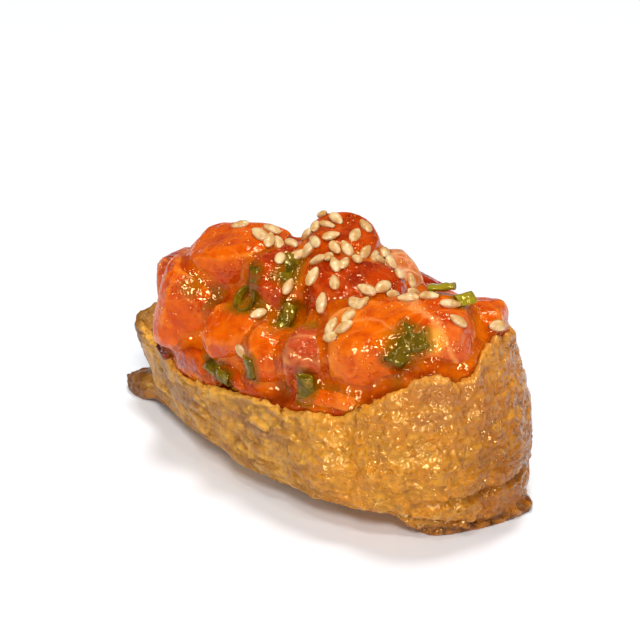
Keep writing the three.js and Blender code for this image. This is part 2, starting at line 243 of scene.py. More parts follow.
class Tree:
    """A node tree being built. Each method adds nodes and returns what they put out."""

    def __init__(self, tree):
        self.tree = tree

    def node(self, kind, inputs=None, **options):
        made = self.tree.nodes.new(kind)
        for name, value in options.items():
            setattr(made, name, value)
        fill(self.tree, made, inputs or {})
        return made

    def first(self, kind, inputs=None, **options):
        return self.node(kind, inputs, **options).outputs[0]

    def math(self, operation, a, b=0.0):
        return self.first("ShaderNodeMath", {0: a, 1: b}, operation=operation)

    def chain(self, operation, values):
        result = values[0]
        for value in values[1:]:
            result = self.math(operation, result, value)
        return result

    def total(self, *values):
        return self.chain("ADD", values)

    def product(self, *values):
        return self.chain("MULTIPLY", values)

    def away(self, value, middle):
        """How far a value lies from a middle, either way."""
        return self.math("ABSOLUTE", self.math("SUBTRACT", value, middle))

    def vectors(self, operation, a, b):
        return self.first("ShaderNodeVectorMath", {0: a, 1: b}, operation=operation)

    def stretched(self, vector, factors):
        return self.vectors("MULTIPLY", vector, factors)

    def scaled(self, vector, factor):
        return self.first("ShaderNodeVectorMath", {0: vector, "Scale": factor}, operation="SCALE")

    def split(self, vector):
        return self.node("ShaderNodeSeparateXYZ", {0: vector}).outputs

    def noise(self, vector, size, detail=2.0, rough=0.5, warp=0.0):
        """Cloudy values from 0 to 1 whose clouds are about size across."""
        inputs = {"Vector": vector, "Scale": 1 / size, "Detail": detail, "Roughness": rough}
        return self.first("ShaderNodeTexNoise", {**inputs, "Distortion": warp})

    def swing(self, *noise):
        """Cloudy values from -0.5 to 0.5."""
        return self.math("SUBTRACT", self.noise(*noise), 0.5)

    def cells(self, vector, size, feature="SMOOTH_F1"):
        """Distance from the middle of the nearest cell, in cell sizes."""
        inputs = {"Vector": vector, "Scale": 1 / size}
        return self.node("ShaderNodeTexVoronoi", inputs, feature=feature).outputs["Distance"]

    def ramp(self, value, low, high, start=0.0, end=1.0):
        """start below low, end above high, and smooth between them."""
        inputs = {"Value": value, "From Min": low, "From Max": high, "To Min": start, "To Max": end}
        return self.first("ShaderNodeMapRange", inputs, interpolation_type="SMOOTHSTEP")

    def blend(self, factor, a, b):
        return self.node("ShaderNodeMix", {0: factor, 6: a, 7: b}, data_type="RGBA").outputs[2]

    # The rest are for geometry trees only.
    def place(self):
        """Each point's place in millimetres."""
        return self.stretched(self.first("GeometryNodeInputPosition"), (1 / MM,) * 3)

    def normal(self):
        return self.first("GeometryNodeInputNormal")

    def moved(self, shape, shift):
        return self.first("GeometryNodeSetPosition", {0: shape, "Offset": shift})

    def stored(self, shape, name, value):
        return self.first("GeometryNodeStoreNamedAttribute", {0: shape, "Name": name, "Value": value})

    def blurred(self, value, kind):
        """A value averaged with those of the points around."""
        inputs = {"Value": value, "Iterations": 5}
        made = self.node("GeometryNodeBlurAttribute", inputs, data_type=kind)
        return next(s for s in made.outputs if s.enabled)

    def scattered(self, shape, distance, density, share, seed):
        """Points on a surface, none nearer to another than a distance in metres."""
        inputs = {0: shape, "Distance Min": distance, "Density Max": density, "Density Factor": share}
        kind = "GeometryNodeDistributePointsOnFaces"
        return self.node(kind, {**inputs, "Seed": seed}, distribute_method="POISSON").outputs

    def copies(self, points, piece, **inputs):
        """A copy of a piece on every point."""
        shape = self.node("GeometryNodeObjectInfo", {0: piece}, transform_space="ORIGINAL")
        inputs.update({0: points, "Instance": shape.outputs["Geometry"]})
        return self.first("GeometryNodeInstanceOnPoints", inputs)


def socket(tree, name, kind, role="INPUT", value=None):
    made = tree.interface.new_socket(name, in_out=role, socket_type="NodeSocket" + kind)
    if value is not None:
        made.default_value = value


def geometry_tree(name, inputs):
    """A geometry tree with a Geometry socket each way, and float inputs {name: default}."""
    group = bpy.data.node_groups.new(name, "GeometryNodeTree")
    socket(group, "Geometry", "Geometry")
    for label, value in inputs.items():
        socket(group, label, "Float", value=value)
    socket(group, "Geometry", "Geometry", "OUTPUT")
    tree = Tree(group)
    return group, tree, tree.node("NodeGroupInput").outputs


def finish_tree(tree, geometry, material):
    """Ends a geometry tree with real meshes and their material."""
    real = tree.first("GeometryNodeRealizeInstances", {0: geometry})
    painted = tree.first("GeometryNodeSetMaterial", {0: real, "Material": material})
    tree.node("NodeGroupOutput", {0: painted})


# ---- Meshes ----
def link(name, mesh):
    piece = bpy.data.objects.new(name, mesh)
    bpy.context.scene.collection.objects.link(piece)
    return piece


def mesh_of(name, shape):
    """A new mesh from a bmesh, which is freed."""
    mesh = bpy.data.meshes.new(name)
    shape.to_mesh(mesh)
    shape.free()
    return mesh


def store(mesh, name, values):
    """Stores a number for each point of a mesh."""
    mesh.attributes.new(name, "FLOAT", "POINT").data.foreach_set("value", values)


def node_copy(node, name):
    """A new object with a CAD node's surface as one connected mesh."""
    mesh = frame["nodes"][node].data.copy()
    mesh.materials.clear()
    shape = bmesh.new()
    shape.from_mesh(mesh)
    bmesh.ops.remove_doubles(shape, verts=shape.verts, dist=0.001 * MM)
    shape.to_mesh(mesh)
    shape.free()
    return link(name, mesh)


def fine_mesh(piece, size, rounds):
    """Gives a piece even faces of a size in metres, and smooths off the old facets."""
    remesh = piece.modifiers.new("Even faces", "REMESH")
    remesh.mode = "VOXEL"
    remesh.voxel_size = size
    smooth = piece.modifiers.new("Smooth", "SMOOTH")
    smooth.factor = 0.5
    smooth.iterations = rounds


def grow_nodes(piece, group, values):
    """Adds a geometry tree to a piece, with its inputs set."""
    modifier = piece.modifiers.new(group.name, "NODES")
    modifier.node_group = group
    for item in group.interface.items_tree:
        if item.in_out == "INPUT" and item.name in values:
            modifier[item.identifier] = values[item.name]


def settle(piece):
    """Turns a piece with its modifiers into a plain smooth mesh."""
    depsgraph = bpy.context.evaluated_depsgraph_get()
    mesh = bpy.data.meshes.new_from_object(piece.evaluated_get(depsgraph))
    piece.modifiers.clear()
    piece.data = mesh
    mesh.name = piece.name
    mesh.shade_smooth()
    return piece


def declare(piece, slot, *nodes):
    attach(piece, "root")
    if nodes:
        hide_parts(*nodes)


def toppings():
    return [p for p in bpy.data.objects if p.name.startswith("flesh_") or p.name == "sauce"]


def surface_of(pieces):
    """Several pieces as one surface, to measure from or to lay things on."""
    verts, faces = [], []
    for piece in pieces:
        start = len(verts)
        verts += [v.co.copy() for v in piece.data.vertices]
        faces += [[start + i for i in p.vertices] for p in piece.data.polygons]
    return BVHTree.FromPolygons(verts, faces)


# ---- Tofu pocket ----
def skin_tree():
    """The fried skin's relief: lumps, level wrinkles, blisters, two folds, and a ragged rim."""
    sizes = {"Lumps": 0.4, "Wrinkles": 0.7, "Blisters": 0.35, "Folds": 0.9, "Lift": 2.6}
    group, tree, source = geometry_tree("Tofu skin", sizes)
    place = tree.place()
    x, y, z = tree.split(place)
    normal = tree.normal()
    up = tree.split(normal)[2]
    off_base = tree.ramp(z, 0.1, 1.6)

    lumps = tree.product(tree.swing(place, 7, 1), 2.0, source["Lumps"])

    # Wrinkles lie level, and are deepest at the low end.
    level = tree.stretched(place, (1 / 8.0, 1 / 8.0, 1 / 1.9))
    ridged = tree.away(tree.noise(level, 1, 2.5, 0.55, 0.7), 0.5)
    groove = tree.ramp(ridged, 0.0, 0.08, 1.0, 0.0)
    gathered = tree.product(tree.ramp(x, 12, 25, 1.0, 0.3), tree.ramp(tree.noise(place, 8), 0.3, 0.6))
    finer = tree.stretched(place, (1 / 2.6, 1 / 2.6, 1 / 0.9))
    grainy = tree.product(tree.swing(finer, 1, 1.5), 0.6)
    creased = tree.away(tree.noise(place, 3.2, 2, 0.5, 0.6), 0.5)
    creases = tree.product(tree.ramp(creased, 0.0, 0.07, 0.6, 0.0), tree.ramp(x, 5, 20))
    wrinkles = tree.math("SUBTRACT", grainy, tree.math("ADD", tree.product(groove, gathered), creases))
    wrinkles = tree.product(wrinkles, source["Wrinkles"])

    blister = tree.ramp(tree.cells(place, 2.4), 0.1, 0.75, 1.0, 0.0)
    fine = tree.ramp(tree.cells(place, 1.5), 0.1, 0.8, 0.32, 0.0)
    puffed = tree.product(
        tree.ramp(tree.noise(place, 6, 1), 0.3, 0.62, 0.4, 1.0), tree.ramp(x, -5, 18, 0.4, 0.9)
    )
    blisters = tree.product(tree.total(blister, fine, -0.6), puffed, source["Blisters"])

    # Two folds run round the high end: one level, and one that falls to the tab at the base.
    wander = tree.noise(place, 5)
    fall = tree.product(tree.math("ADD", y, 13.9), -0.28)
    folds = 0.0
    for height, width, share, start in (
        (tree.math("ADD", wander, 7.1), 0.9, 1.0, 33),
        (tree.total(fall, wander, 3.4), 0.75, 1.5, 27),
    ):
        away = tree.away(z, height)
        bell = tree.product(tree.ramp(away, 0.0, width, share, 0.0), tree.ramp(x, start, start + 4))
        folds = tree.math("ADD", folds, bell)
    folds = tree.product(folds, tree.ramp(y, 2, 9, 1.0, 0.0), source["Folds"], -1.0)

    relief = tree.product(tree.total(lumps, wrinkles, blisters, folds), off_base)
    tab = tree.product(
        tree.ramp(z, 2.0, 2.9, 1.0, 0.0),
        tree.ramp(tree.math("ABSOLUTE", x), 27, 31),
        tree.ramp(y, 14, 6),
    )
    crust = tree.swing(place, 1.9, 3, 0.6)
    relief = tree.math("ADD", relief, tree.product(crust, tab, tree.ramp(z, 0.2, 1.0), 1.6))
    ragged = tree.product(
        tree.swing(place, 2.2, 3),
        tree.ramp(up, 0.3, 0.8),
        tree.ramp(z, 11, 13),
        2.4,
    )
    # The belly clears the plate all round, except under the two tabs.
    oval = tree.math(
        "ADD",
        tree.math("POWER", tree.math("ABSOLUTE", tree.product(x, 1 / 34)), 2.6),
        tree.math("POWER", tree.math("ABSOLUTE", tree.product(y, 1 / 12.5)), 2.0),
    )
    belly = tree.product(
        tree.ramp(oval, 0.3, 1.1),
        tree.ramp(z, 0.0, 7.0, 1.0, 0.0),
        tree.ramp(x, -36, -29),
        tree.ramp(x, 26.5, 30, 1.0, 0.0),
        source["Lift"],
    )
    outwards = tree.scaled(normal, tree.product(relief, MM))
    rise = tree.product(tree.math("ADD", ragged, belly), MM)
    lifted = tree.first("ShaderNodeCombineXYZ", {2: rise})
    shape = tree.moved(source["Geometry"], tree.vectors("ADD", outwards, lifted))
    edge = tree.product(tree.ramp(up, 0.15, 0.55), tree.ramp(z, 11, 12.5))
    spread = tree.blurred(edge, "FLOAT")
    marks = {
        "relief": tree.ramp(relief, -0.75, 0.55),
        "cut": tree.math("MAXIMUM", edge, tree.ramp(spread, 0.15, 0.7)),
        "tab": tab,
    }
    for name, value in marks.items():
        shape = tree.stored(shape, name, value)
    finish_tree(tree, shape, tofu_material())
    return group


def attribute(tree, name):
    return tree.node("ShaderNodeAttribute", attribute_name=name).outputs["Fac"]


def material(name):
    """A new material: its tree, its Principled shader, and its place in millimetres."""
    made = bpy.data.materials.new(name)
    made.use_nodes = True
    tree = Tree(made.node_tree)
    shader = made.node_tree.nodes["Principled BSDF"]
    where = tree.node("ShaderNodeTexCoord").outputs["Object"]
    return made, tree, shader, tree.stretched(where, (1 / MM,) * 3)


def marked(tree, base, *marks):
    """Tints a colour where a stored number is high: its name, low, high, most of the tint, tint."""
    for name, low, high, share, shade in marks:
        base = tree.blend(tree.ramp(attribute(tree, name), low, high, 0.0, share), base, shade)
    return base


def wire(tree, shader, **values):
    fill(tree.tree, shader, {name.replace("_", " "): value for name, value in values.items()})


def soft(weight, reach, size):
    """Light under the surface: how much, how far by colour, and its size in millimetres."""
    return {"Subsurface_Weight": weight, "Subsurface_Radius": reach, "Subsurface_Scale": size * MM}


def wet_group():
    """Shared wet finish: a bump of drops and film, and the roughness of a wet surface."""
    name = "Wet film"
    if name in bpy.data.node_groups:
        return bpy.data.node_groups[name]
    group = bpy.data.node_groups.new(name, "ShaderNodeTree")
    socket(group, "Place", "Vector")
    socket(group, "Drop size", "Float", value=1.2)
    socket(group, "Wetness", "Float", value=1.0)
    socket(group, "Beads", "Float", value=0.5)
    socket(group, "Height", "Float", "OUTPUT")
    socket(group, "Roughness", "Float", "OUTPUT")
    tree = Tree(group)
    source = tree.node("NodeGroupInput").outputs
    scaled = tree.scaled(source["Place"], tree.math("DIVIDE", 1.0, source["Drop size"]))
    drops = tree.ramp(tree.cells(scaled, 0.6, "F1"), 0.0, 0.42, 1.0, 0.0)
    patches = tree.ramp(tree.noise(scaled, 3.5, 2), 0.45, 0.6)
    film = tree.noise(scaled, 1.0, 0.6, 0.4)
    beaded = tree.product(drops, patches, source["Beads"])
    height = tree.product(tree.total(beaded, film), source["Wetness"])
    rough = tree.ramp(tree.noise(scaled, 2.5, 1), 0.35, 0.7, 0.06, 0.2)
    dry = tree.product(tree.math("SUBTRACT", 1.0, source["Wetness"]), 0.45)
    tree.node("NodeGroupOutput", {0: height, 1: tree.math("ADD", rough, dry)})
    return group


def wet(tree, place, drop_size, wetness, beads=0.5):
    """The wet film's height and roughness."""
    inputs = {"Place": place, "Drop size": drop_size, "Wetness": wetness, "Beads": beads}
    return tree.node("ShaderNodeGroup", inputs, node_tree=wet_group()).outputs


def bump(tree, height, depth):
    return tree.first("ShaderNodeBump", {"Height": height, "Strength": 1.0, "Distance": depth * MM})


def rim_blur(tree):
    """Extra roughness where a wet surface turns away from the viewer."""
    facing = tree.node("ShaderNodeLayerWeight", {"Blend": 0.5}).outputs["Facing"]
    return tree.ramp(facing, 0.7, 0.97, 0.0, 0.35)


def tofu_material():
    made, tree, shader, place = material("Simmered tofu skin")
    x, y, z = tree.split(place)
    relief = attribute(tree, "relief")
    cut = attribute(tree, "cut")

    blotches = tree.ramp(tree.noise(place, 2.4, 4, 0.6), 0.34, 0.66)
    skin = tree.blend(blotches, settings().skin_dark, settings().skin_light)
    level = tree.stretched(place, (0.45, 0.45, 1.3))
    dull = tree.product(
        tree.ramp(tree.noise(level, 5.0, 3, 0.6, 0.5), 0.47, 0.62), tree.ramp(x, 8, 24, 0.75, 0.15)
    )
    skin = tree.blend(dull, skin, colour("94602E"))
    glazed = tree.product(
        tree.ramp(x, 8, 22), tree.ramp(tree.noise(place, 4.0, 4, 0.6), 0.36, 0.62, 0.25, 0.9)
    )
    skin = tree.blend(glazed, skin, settings().skin_glaze)
    # Painted shade: the high end darker brown, most towards its back.
    end = tree.product(
        tree.ramp(x, 31, 38),
        tree.ramp(y, -13, -5, 0.2, 1.0),
        tree.ramp(tree.noise(place, 3.5, 3), 0.3, 0.6, 0.4, 1.0),
    )
    skin = tree.blend(tree.product(end, 0.85), skin, colour("9A4A00"))
    # Painted shade: darker brown in the low places of the relief.
    skin = tree.blend(tree.ramp(relief, 0.05, 0.45, 0.4, 0.0), skin, colour("84501C"))
    # Paler on the raised ridges: partly the skin's own paler ridges, partly a painted highlight.
    skin = tree.blend(tree.ramp(relief, 0.6, 0.95, 0.0, 0.4), skin, colour("E8B458"))
    speckle = tree.ramp(tree.noise(place, 0.9, 3, 0.6), 0.44, 0.64)
    skin = tree.blend(tree.product(speckle, 0.4), skin, colour("94561A"))
    # Bruised mauve patches: one at the high end's corner, and a band below the low rim.
    corner = tree.product(tree.ramp(x, 29, 34), tree.ramp(z, 16, 23))
    band = tree.product(tree.ramp(x, 4, 14, 1.0, 0.0), tree.ramp(z, 9.0, 11.5), tree.ramp(z, 15, 13.4))
    bruise = tree.product(tree.math("MAXIMUM", corner, band), tree.ramp(tree.noise(level, 4, 3), 0.35, 0.6))
    skin = tree.blend(tree.product(bruise, 0.55), skin, colour("8A5A48"))
    stained = tree.product(tree.ramp(x, 4, 20), tree.ramp(z, 14, 26), 0.5)
    skin = tree.blend(stained, skin, colour("C8701E"))
    toasted = tree.ramp(tree.noise(place, 1.6, 3), 0.35, 0.6, 0.45, 0.95)
    toasted = tree.product(cut, toasted, tree.ramp(x, 4, 14, 1.0, 0.45))
    skin = tree.blend(toasted, skin, settings().rim_colour)
    # Painted shade: darker brown on the lowest 3 mm, where the skin meets the floor.
    skin = tree.blend(tree.ramp(z, 0.3, 3, 0.3, 0.0), skin, colour("7A4A20"))
    crust = tree.ramp(tree.noise(place, 1.9, 3, 0.6), 0.4, 0.62)
    browned = tree.blend(crust, colour("6A3204"), colour("BC6E14"))
    skin = tree.blend(tree.product(attribute(tree, "tab"), 0.9), skin, browned)
    # Painted shade: the tab at the low end darker brown.
    skin = tree.blend(tree.ramp(x, -36, -32, 0.8, 0.0), skin, colour("6E3A0E"))

    wetness = tree.ramp(x, 2, 20, 0.45, 1.0)
    film, rough = wet(tree, place, 1.0, wetness, 0.35)
    crinkled = tree.away(tree.noise(place, 1.5, 2, 0.5, 0.4), 0.5)
    crinkles = tree.ramp(crinkled, 0.0, 0.1, 0.14, 0.0)
    height = tree.total(tree.product(film, 1.7), crinkles)
    wire(
        tree,
        shader,
        Base_Color=skin,
        Roughness=tree.math("ADD", tree.product(rough, 0.7), tree.ramp(x, 0, 18, 0.15, 0.03)),
        Normal=bump(tree, height, 0.36),
        **soft(0.2, (1.0, 0.5, 0.2), 1.2),
        Specular_IOR_Level=0.62,
        Specular_Tint=(1.0, 0.74, 0.34, 1.0),
    )
    return made


class INARI_OT_pocket(bpy.types.Operator):
    """Makes the pocket of tofu skin, with its wrinkles, blisters and ragged rim"""

    bl_idname = "inari.pocket"
    bl_label = "Tofu pocket"

    def execute(self, context):
        sizes = settings()
        piece = node_copy("tofu_pocket", "tofu_skin")
        fine_mesh(piece, sizes.skin_grain, 5)
        values = {
            "Lumps": sizes.skin_lumps / MM,
            "Wrinkles": sizes.skin_wrinkles / MM,
            "Blisters": sizes.skin_blisters / MM,
        }
        grow_nodes(piece, skin_tree(), values)
        declare(settle(piece), "tofu", "tofu_pocket")
        return {"FINISHED"}


# ---- Rice ----
RICE_FACE = 0.8  # length of one face of the core
RICE_INSET = 0.5  # how far the core lies inside the solid, to leave room for the grains
RICE_DENSITY = 4.0e5  # most grains per square metre, before the spacing thins them


def rice_material():
    made, tree, shader, place = material("Seasoned rice")
    clouds = tree.ramp(tree.noise(place, 5, 2), 0.35, 0.65)
    grain = tree.blend(clouds, settings().rice_colour, colour("E0A878"))
    film, rough = wet(tree, place, 1.0, 0.7)
    wire(
        tree,
        shader,
        Base_Color=grain,
        Roughness=rough,
        Normal=bump(tree, film, 0.15),
        **soft(0.3, (1.0, 0.8, 0.6), 1.0),
    )
    return made


def grain_mesh():
    """One grain of rice, lying along X."""
    shape = bmesh.new()
    bmesh.ops.create_icosphere(shape, subdivisions=2, radius=1.0)
    for vert in shape.verts:
        along = vert.co.x
        vert.co = Vector((2.7 * along, 1.15 * vert.co.y * (1 - 0.15 * along**2), 0.95 * vert.co.z))
        vert.co.z += 0.25 * (along**2 - 0.5)
        vert.co *= MM
    return link("rice_grain", mesh_of("rice_grain", shape))


def rice_tree(grain, paint):
    """Grains lying on the upper side of the rice."""
    group, tree, source = geometry_tree("Rice grains", {"Spacing": 1.9})
    up = tree.split(tree.normal())[2]
    least = tree.product(source["Spacing"], MM)
    spread = tree.scattered(source["Geometry"], least, RICE_DENSITY, tree.ramp(up, 0.05, 0.3), 4)
    inputs = {0: (-0.4, -0.4, 0.0), 1: (0.4, 0.4, 6.28), "Seed": 7}
    turn = tree.first("FunctionNodeRandomValue", inputs, data_type="FLOAT_VECTOR")
    inputs = {0: spread["Rotation"], 1: tree.first("FunctionNodeEulerToRotation", {0: turn})}
    facing = tree.first("FunctionNodeRotateRotation", inputs, rotation_space="LOCAL")
    finish_tree(tree, tree.copies(spread["Points"], grain, Rotation=facing), paint)
    return group


class INARI_OT_rice(bpy.types.Operator):
    """Makes the rice: a core inside the pocket, and grains on its upper side"""

    bl_idname = "inari.rice"
    bl_label = "Rice"

    def execute(self, context):
        core = node_copy("rice_filling", "rice_core")
        fine_mesh(core, RICE_FACE * MM, 4)
        settle(core)
        for vert, normal in zip(core.data.vertices, [v.normal.copy() for v in core.data.vertices]):
            vert.co -= normal * RICE_INSET * MM
        paint = rice_material()
        core.data.materials.append(paint)
        grain = grain_mesh()
        grains = link("rice_grains", core.data.copy())
        grow_nodes(grains, rice_tree(grain, paint), {"Spacing": settings().rice_spacing / MM})
        settle(grains)
        bpy.data.objects.remove(grain)
        declare(core, "rice", "rice_filling")
        declare(grains, "rice", "rice_filling")
        return {"FINISHED"}


# ---- Salmon ----
def fat_group():
    """Lines of fat through the flesh, and the fine grain between them."""
    name = "Salmon grain"
    if name in bpy.data.node_groups:
        return bpy.data.node_groups[name]
    group = bpy.data.node_groups.new(name, "ShaderNodeTree")
    socket(group, "Grain", "Vector")
    socket(group, "Spacing", "Float", value=3.4)
    socket(group, "Fat", "Float", "OUTPUT")
    socket(group, "Fibres", "Float", "OUTPUT")
    socket(group, "Mottle", "Float", "OUTPUT")
    tree = Tree(group)
    source = tree.node("NodeGroupInput").outputs
    warp = tree.swing(source["Grain"], 6.5, 2, 0.5)
    x, y, _ = tree.split(source["Grain"])
    bowed = tree.total(x, tree.product(warp, 9.0), tree.product(tree.math("ABSOLUTE", y), 0.45))
    phase = tree.math("DIVIDE", bowed, source["Spacing"])
    near = tree.math("ABSOLUTE", tree.math("SUBTRACT", tree.math("FRACT", phase), 0.5))
    broken = tree.ramp(tree.noise(source["Grain"], 3.0, 2), 0.36, 0.6, 0.25, 1.0)
    lines = tree.product(tree.ramp(near, 0.0, 0.13, 1.0, 0.0), broken)
    fibre_place = tree.stretched(source["Grain"], (1 / 0.5, 1 / 2.2, 1 / 2.2))
    fibres = tree.noise(fibre_place, 1.0, 2, 0.6)
    mottle = tree.noise(source["Grain"], 3.6, 3, 0.55)
    tree.node("NodeGroupOutput", {0: lines, 1: fibres, 2: mottle})
    return group


FLESH_TONES = {
    # deep flesh, fat, how much of the fat shows, how much the edges pale, how much it shines
    "orange": ("CC4400", "FF9A30", 0.22, 0.4, 0.44),
    "slab": ("CC4200", "FF9E3C", 0.3, 0.3, 0.44),
    # scarlet: the peak's own red, and painted shade on the low cuts
    "scarlet": ("9C2A00", "F07C20", 0.22, 0.15, 0.26),
    "red": ("9C2400", "EC7428", 0.25, 0.15, 0.44),
    "pale": ("D07030", "FFD4A0", 0.5, 0.35, 0.44),
    "pink": ("A43812", "FFB86C", 0.28, 0.25, 0.44),
}


def flesh_material(tone):
    deep, fat, fat_share, edge_share, shine = FLESH_TONES[tone]
    bright = getattr(settings(), "salmon_" + tone)
    made, tree, shader, place = material("Raw salmon " + tone)
    grain = tree.node("ShaderNodeAttribute", attribute_name="grain").outputs["Vector"]
    fibre = tree.node("ShaderNodeGroup", {"Grain": grain, "Spacing": 3.6}, node_tree=fat_group()).outputs
    edge = attribute(tree, "edge")

    flesh = tree.blend(tree.ramp(fibre["Mottle"], 0.35, 0.65), colour(deep), bright)
    flesh = tree.blend(tree.product(fibre["Fat"], fat_share), flesh, colour(fat))
    flesh = tree.blend(tree.ramp(edge, 0.62, 0.9, 0.0, edge_share), flesh, colour(fat))
    if tone == "slab":
        flesh = slab_rings(tree, flesh, fibre["Mottle"], place)
    # Painted shade: dark red where the surface dips in, between the dice.
    flesh = tree.blend(tree.ramp(edge, 0.15, 0.45, 0.7, 0.0), flesh, colour("8E1C04"))
    # The hollow tint is painted shade; the pool and green tints are the sauce's and the chives' own colour.
    flesh = marked(
        tree,
        flesh,
        ("hollow", 0.15, 0.7, 0.75, colour("7A2200")),
        ("pool", 0.25, 0.8, 0.7, settings().pool_colour),
        ("green", 0.2, 0.9, 0.7, colour("7A5000")),
    )
    film, rough = wet(tree, place, 1.0, 1.0, 0.7)
    height = tree.total(film, tree.product(fibre["Fibres"], 0.12))
    wire(
        tree,
        shader,
        Base_Color=flesh,
        Roughness=tree.math("ADD", tree.product(rough, 0.75), rim_blur(tree)),
        Normal=bump(tree, height, 0.26),
        Specular_IOR_Level=shine,
        Specular_Tint=(1.0, 0.6, 0.3, 1.0),
        **soft(0.4, (1.0, 0.25, 0.06), 1.6),
    )
    return made


def slab_rings(tree, flesh, mottle, place):
    """The big slab: fat in rings that follow its outline, a yellow left end, a pink right end."""
    ring = tree.math("ADD", attribute(tree, "ring"), tree.product(mottle, 0.12))
    x = tree.split(place)[0]
    flesh = tree.blend(tree.ramp(x, 29, 36, 0.0, 0.55), flesh, colour("D0502C"))
    flesh = tree.blend(tree.ramp(x, 16.5, 21, 0.4, 0.0), flesh, colour("F08A20"))
    inputs = {0: place, 1: (31.5, -11.3, 33.4)}
    away = tree.node("ShaderNodeVectorMath", inputs, operation="DISTANCE").outputs["Value"]
    flesh = tree.blend(tree.ramp(away, 1.2, 3.2, 0.8, 0.0), flesh, colour("FFB040"))
    for radius, width, share in ((0.93, 0.035, 0.6), (0.74, 0.025, 0.35)):
        line = tree.ramp(tree.away(ring, radius), 0.0, width, share, 0.0)
        flesh = tree.blend(line, flesh, colour("FFA858"))
    return flesh


def flesh_tree(tone):
    """A cut face's waves, and a mark of how far each place stands out as an edge."""
    group, tree, source = geometry_tree("Salmon " + tone, {"Waves": 0.45, "Seed": 0.0})
    place = tree.place()
    normal = tree.normal()
    own = tree.vectors("ADD", place, source["Seed"])
    wave, nick = tree.swing(own, 4.5, 1.5), tree.swing(own, 1.8, 2)
    height = tree.product(tree.total(tree.product(wave, 2.0), tree.product(nick, 0.5)), source["Waves"])
    shape = tree.moved(source["Geometry"], tree.scaled(normal, tree.product(height, MM)))

    here = tree.first("GeometryNodeInputPosition")
    inputs = {0: tree.vectors("SUBTRACT", here, tree.blurred(here, "FLOAT_VECTOR")), 1: normal}
    outward = tree.node("ShaderNodeVectorMath", inputs, operation="DOT_PRODUCT").outputs["Value"]
    shape = tree.stored(shape, "edge", tree.ramp(tree.product(outward, 1 / MM), -0.25, 0.25))
    finish_tree(tree, shape, flesh_material(tone))
    return group


def store_grain(piece, about_z, about_x):
    """Stores each point's place in the cut's own millimetres, turned to the flesh's grain."""
    low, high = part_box("salmon_" + piece.name.removeprefix("flesh_"))
    middle = (Vector(low) + Vector(high)) / 2
    turn = Matrix.Rotation(math.radians(about_x), 3, "X") @ Matrix.Rotation(math.radians(about_z), 3, "Z")
    values = np.array([(turn @ (v.co - middle)) * (1 / MM) for v in piece.data.vertices])
    values += np.array([7.3 * about_z, 3.1 * about_x, 0.0]) % 50
    layer = piece.data.attributes.new("grain", "FLOAT_VECTOR", "POINT")
    layer.data.foreach_set("vector", values.astype(np.float32).ravel())
    half = (Vector(high) - Vector(low)) / 2
    rings = [
        (abs((v.co.x - middle.x) / half.x) ** 3 + abs((v.co.z - middle.z) / half.z) ** 3) ** (1 / 3)
        for v in piece.data.vertices
    ]
    store(piece.data, "ring", rings)


def press_pool(piece):
    """Presses the shallow pool into the front of the big slab."""
    middle, along = Vector((28.0, -12.4, 33.0)), Vector((0.88, 0.12, 0.46)).normalized()
    depth, half_length, half_width = 1.5, 3.8, 2.2
    normals = [v.normal.copy() for v in piece.data.vertices]
    for vert, normal in zip(piece.data.vertices, normals):
        away = vert.co / MM - middle
        u = away.dot(along)
        v = (away - along * u).length
        vert.co -= normal * depth * MM * math.exp(-((u / half_length) ** 2) - (v / half_width) ** 2)


class INARI_OT_salmon(bpy.types.Operator):
    """Makes the diced salmon, one piece for each dice"""

    bl_idname = "inari.salmon"
    bl_label = "Diced salmon"

    def execute(self, context):
        sizes = settings()
        trees = {tone: flesh_tree(tone) for tone in FLESH_TONES}
        for index, node in enumerate(SALMON_NODES):
            name = node.removeprefix("salmon_")
            tone, about_z, about_x = FLESH[name]
            piece = node_copy(node, "flesh_" + name)
            fine_mesh(piece, sizes.flesh_grain, 1)
            grow_nodes(piece, trees[tone], {"Waves": sizes.flesh_waves / MM, "Seed": 13.0 * index})
            settle(piece)
            store_grain(piece, about_z, about_x)
            if tone == "slab":
                press_pool(piece)
            declare(piece, "salmon", node)
        return {"FINISHED"}


# ---- Sauce ----
SAUCE_FACES = (0.5, 0.45)  # length of one face, while it is spread and when it has drawn back
SAUCE_DRAWN_IN = 0.1  # how much further it draws back than it was spread
NEAR_WALL = 0.4  # sauce nearer than this to the pocket's wall is pushed into it,
INTO_WALL = 1.1  # this deep, so that the cut to the skin leaves no gap


def sauce_material():
    made, tree, shader, place = material("Amber sauce")
    clouds = tree.ramp(tree.noise(place, 4.5, 3, 0.55), 0.35, 0.65)
    amber = tree.blend(clouds, colour("B43A00"), settings().sauce_colour)
    olive = tree.ramp(tree.noise(place, 7.5, 2), 0.54, 0.7, 0.0, 0.6)
    amber = tree.blend(olive, amber, colour("7A5A10"))
    # The hollow tint is painted shade; the depth, pool and green tints are the sauce's own colour.
    amber = marked(
        tree,
        amber,
        ("depth", 0.7, 2.2, 0.7, colour("7E2200")),
        ("hollow", 0.15, 0.7, 0.75, colour("7A2200")),
        ("pool", 0.15, 0.7, 0.8, settings().pool_colour),
        ("green", 0.1, 0.8, 0.75, colour("7A5000")),
    )
    film, rough = wet(tree, place, 0.9, 1.0, 0.7)
    wire(
        tree,
        shader,
        Base_Color=amber,
        Roughness=tree.math("ADD", tree.product(rough, 0.5), rim_blur(tree)),
        Normal=bump(tree, film, 0.26),
        Specular_IOR_Level=0.44,
        Specular_Tint=(1.0, 0.6, 0.3, 1.0),
        **soft(0.5, (1.0, 0.3, 0.05), 2.0),
    )
    return made


def sauce_tree():
    """Moves a surface in or out along its normals."""
    group, tree, source = geometry_tree("Spread", {"Rise": 0.0})
    shift = tree.scaled(tree.normal(), tree.product(source["Rise"], MM))
    finish_tree(tree, tree.moved(source["Geometry"], shift), sauce_material())
    return group


